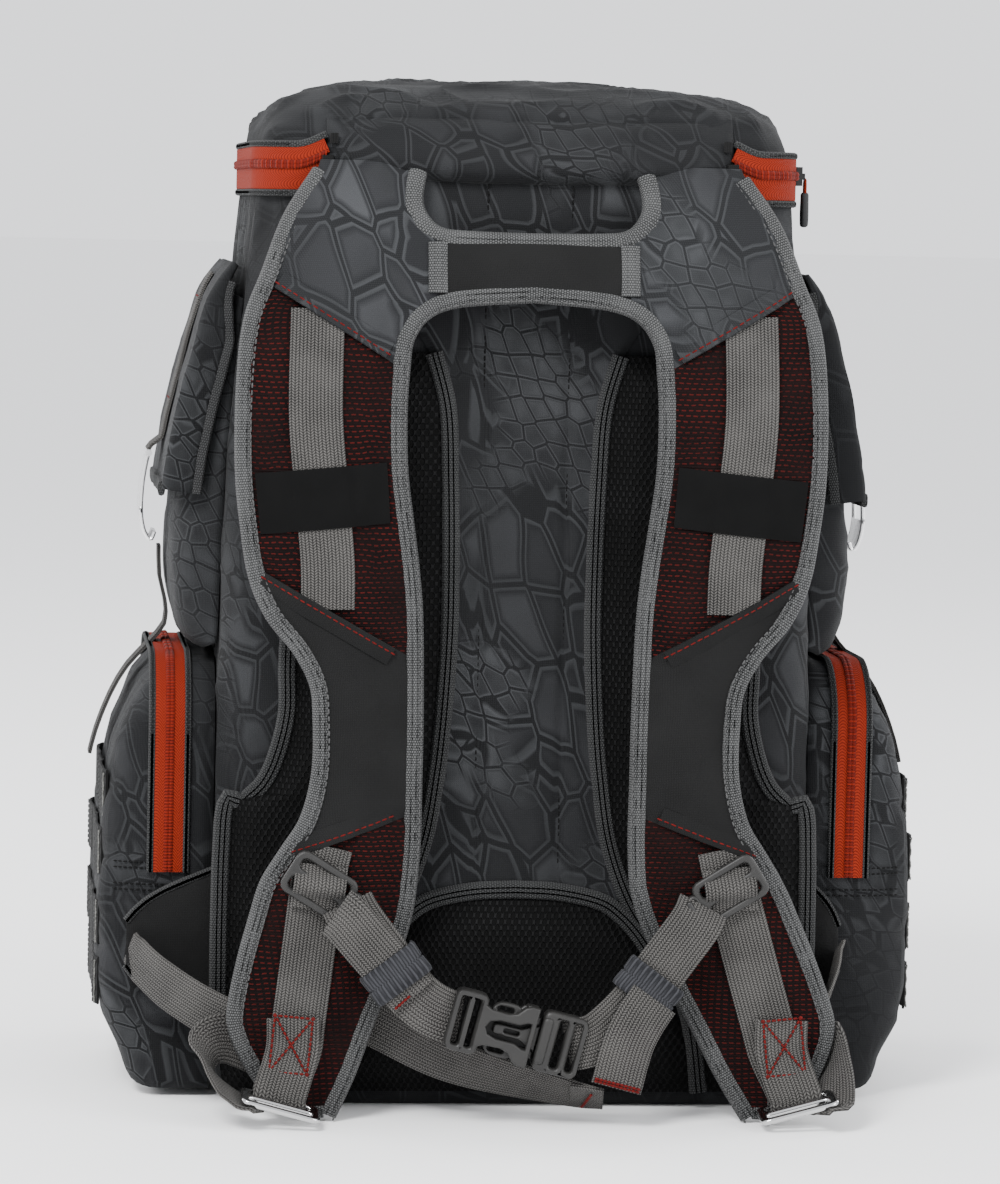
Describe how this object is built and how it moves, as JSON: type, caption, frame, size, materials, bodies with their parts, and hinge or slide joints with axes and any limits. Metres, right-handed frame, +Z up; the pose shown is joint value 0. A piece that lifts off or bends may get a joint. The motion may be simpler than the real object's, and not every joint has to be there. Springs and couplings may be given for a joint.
{
  "type": "tackle backpack",
  "caption": "Fishing backpack with zipped lid, flap and clamshell pockets, padded shoulder harness and chest strap with side-release buckle.",
  "frame": {"origin": "centre of the bag's base on the surface it stands on", "axes": "+Z up, -Y towards the wearer (the harness side), +X to the right when looking at the harness"},
  "size_m": [0.4018, 0.3139, 0.485],
  "materials": {
    "camo_fabric": "printed woven polyester",
    "black_fabric": "plain woven, matte",
    "spacer_mesh": "3-D knitted mesh",
    "webbing": "ribbed polyester webbing",
    "zip_tape": "herringbone zip tape",
    "strap_fabric": "mesh with rows of red dashes",
    "patch_rubber": "matte moulded",
    "buckle_plastic": "fine moulded texture",
    "pull_plastic": "soft-touch moulded",
    "slider_metal": "dark lacquer",
    "hook_metal": "satin",
    "chrome": "polished",
    "elastic": "ribbed elastic",
    "board": "plain sheet"
  },
  "bodies": {
    "pack": {"main_shell": "camo_fabric", "base_board": "board", "frame_sheet": "board", "back_pad_left": "spacer_mesh", "back_pad_right": "spacer_mesh", "lumbar_pad": "spacer_mesh", "spine_panel": "camo_fabric", "zip_tapes": "zip_tape", "side_pocket_left": "camo_fabric", "side_pocket_right": "camo_fabric", "front_pocket": "camo_fabric", "molle_webbing": "webbing", "cargo_pocket_left": "camo_fabric", "cargo_pocket_right": "camo_fabric", "cargo_tails": "webbing", "strap_wings": "black_fabric", "adjuster_webs": "webbing"},
    "lid": {"lid_shell": "camo_fabric", "lid_zip_tape": "zip_tape"},
    "lid_slider": {"lid_zip_slider": "slider_metal"},
    "lid_pull": {"lid_zip_pull": "pull_plastic"},
    "front_door": {"front_door": "camo_fabric", "front_zip_tape": "zip_tape"},
    "front_slider": {"front_zip_slider": "slider_metal"},
    "front_pull": {"front_zip_pull": "pull_plastic"},
    "harness": {"yoke": "camo_fabric", "haul_handle": "black_fabric", "shoulder_strap_left": "strap_fabric", "shoulder_strap_right": "strap_fabric", "shoulder_webs": "webbing", "strap_patches": "patch_rubber", "strap_panels": "black_fabric", "adjuster_tail": "webbing", "chest_web_left": "webbing", "chest_web_right": "webbing", "web_keepers": "elastic", "buckle_female": "buckle_plastic"},
    "buckle_male": {"buckle_male": "buckle_plastic"},
    "prong_upper": {"buckle_prong_upper": "buckle_plastic"},
    "prong_lower": {"buckle_prong_lower": "buckle_plastic"},
    "flap_left": {"cargo_flap_left": "camo_fabric", "flap_web_left": "webbing"},
    "hook_left": {"gate_hook_left": "hook_metal"},
    "door_left": {"side_door_left": "camo_fabric", "door_zip_tape_left": "zip_tape", "door_molle_left": "webbing"},
    "zip_slider_left": {"side_zip_slider_left": "slider_metal"},
    "zip_pull_left": {"side_zip_pull_left": "pull_plastic"},
    "ladder_left": {"ladder_buckle_left": "chrome"},
    "chest_slider_left": {"chest_slider_left": "buckle_plastic"},
    "flap_right": {"cargo_flap_right": "camo_fabric", "flap_web_right": "webbing"},
    "hook_right": {"gate_hook_right": "hook_metal"},
    "door_right": {"side_door_right": "camo_fabric", "door_zip_tape_right": "zip_tape", "door_molle_right": "webbing"},
    "zip_slider_right": {"side_zip_slider_right": "slider_metal"},
    "zip_pull_right": {"side_zip_pull_right": "pull_plastic"},
    "ladder_right": {"ladder_buckle_right": "chrome"},
    "chest_slider_right": {"chest_slider_right": "buckle_plastic"}
  },
  "joints": [
    {"name": "lid_hinge", "type": "hinge", "parent": "pack", "child": "lid", "pos_m": [0, -0.095, 0.455], "axis": [1, 0, 0], "range_deg": [0, 110]},
    {"name": "lid_zip_run", "type": "slide", "parent": "lid", "child": "lid_slider", "axis": [0, 1, 0], "range_m": [0, 0.128]},
    {"name": "lid_pull_swing", "type": "hinge", "parent": "lid_slider", "child": "lid_pull", "pos_m": [0.1339, -0.066, 0.4444], "axis": [0, -1, 0], "range_deg": [0, 100]},
    {"name": "front_door_hinge", "type": "hinge", "parent": "pack", "child": "front_door", "pos_m": [0, 0.1514, 0.099], "axis": [-1, 0, 0], "range_deg": [0, 80]},
    {"name": "front_zip_run", "type": "slide", "parent": "pack", "child": "front_slider", "axis": [0, 0, 1], "range_m": [0, 0.12]},
    {"name": "front_pull_swing", "type": "hinge", "parent": "front_slider", "child": "front_pull", "pos_m": [-0.1179, 0.1164, 0.116], "axis": [0, 1, 0], "range_deg": [0, 100]},
    {"name": "harness_swing", "type": "hinge", "parent": "pack", "child": "harness", "pos_m": [0, -0.097, 0.444], "axis": [-1, 0, 0], "range_deg": [0, 14], "deforming": ["adjuster_webs"]},
    {"name": "buckle_release", "type": "slide", "parent": "harness", "child": "buckle_male", "axis": [0.9703, 0, -0.2419], "range_m": [0, 0.035], "deforming": ["chest_web_right"]},
    {"name": "prong_upper_squeeze", "type": "hinge", "parent": "buckle_male", "child": "prong_upper", "pos_m": [0.0057, -0.152, 0.05083], "axis": [0, -1, 0], "range_deg": [0, 6], "stiffness_Nm_per_rad": 0.05},
    {"name": "prong_lower_squeeze", "type": "hinge", "parent": "buckle_male", "child": "prong_lower", "pos_m": [0.00183, -0.152, 0.0353], "axis": [0, 1, 0], "range_deg": [0, 6], "stiffness_Nm_per_rad": 0.05},
    {"name": "flap_hinge_left", "type": "hinge", "parent": "pack", "child": "flap_left", "pos_m": [-0.135, 0, 0.397], "axis": [0, 1, 0], "range_deg": [0, 100]},
    {"name": "hook_swing_left", "type": "hinge", "parent": "flap_left", "child": "hook_left", "pos_m": [-0.174, 0, 0.304], "axis": [0, 1, 0], "range_deg": [0, 60]},
    {"name": "door_hinge_left", "type": "hinge", "parent": "pack", "child": "door_left", "pos_m": [-0.1984, 0, 0.099], "axis": [0, -1, 0], "range_deg": [0, 75], "deforming": ["cargo_tails"]},
    {"name": "side_zip_run_left", "type": "slide", "parent": "pack", "child": "zip_slider_left", "axis": [0, 0, 1], "range_m": [0, 0.058]},
    {"name": "side_pull_swing_left", "type": "hinge", "parent": "zip_slider_left", "child": "zip_pull_left", "pos_m": [-0.1634, 0.0809, 0.116], "axis": [1, 0, 0], "range_deg": [0, 100]},
    {"name": "flap_hinge_right", "type": "hinge", "parent": "pack", "child": "flap_right", "pos_m": [0.135, 0, 0.397], "axis": [0, -1, 0], "range_deg": [0, 100]},
    {"name": "hook_swing_right", "type": "hinge", "parent": "flap_right", "child": "hook_right", "pos_m": [0.174, 0, 0.304], "axis": [0, -1, 0], "range_deg": [0, 60]},
    {"name": "door_hinge_right", "type": "hinge", "parent": "pack", "child": "door_right", "pos_m": [0.1984, 0, 0.099], "axis": [0, 1, 0], "range_deg": [0, 75], "deforming": ["cargo_tails"]},
    {"name": "side_zip_run_right", "type": "slide", "parent": "pack", "child": "zip_slider_right", "axis": [0, 0, 1], "range_m": [0, 0.058]},
    {"name": "side_pull_swing_right", "type": "hinge", "parent": "zip_slider_right", "child": "zip_pull_right", "pos_m": [0.1634, 0.0809, 0.116], "axis": [1, 0, 0], "range_deg": [0, 100]},
    {"name": "ladder_tilt_left", "type": "hinge", "parent": "harness", "child": "ladder_left", "pos_m": [-0.1126, -0.1435, 0.012], "axis": [-0.9659, 0, 0.2588], "range_deg": [0, 60]},
    {"name": "ladder_tilt_right", "type": "hinge", "parent": "harness", "child": "ladder_right", "pos_m": [0.1288, -0.1435, 0.012], "axis": [-0.9659, 0, -0.2588], "range_deg": [0, 60]},
    {"name": "chest_slide_left", "type": "slide", "parent": "harness", "child": "chest_slider_left", "axis": [0.1191, 0, 0.9929], "range_m": [-0.04, 0.01], "deforming": ["chest_web_left"]},
    {"name": "chest_slide_right", "type": "slide", "parent": "harness", "child": "chest_slider_right", "axis": [-0.2663, 0, 0.9639], "range_m": [-0.04, 0.01], "deforming": ["chest_web_right"]}
  ]
}
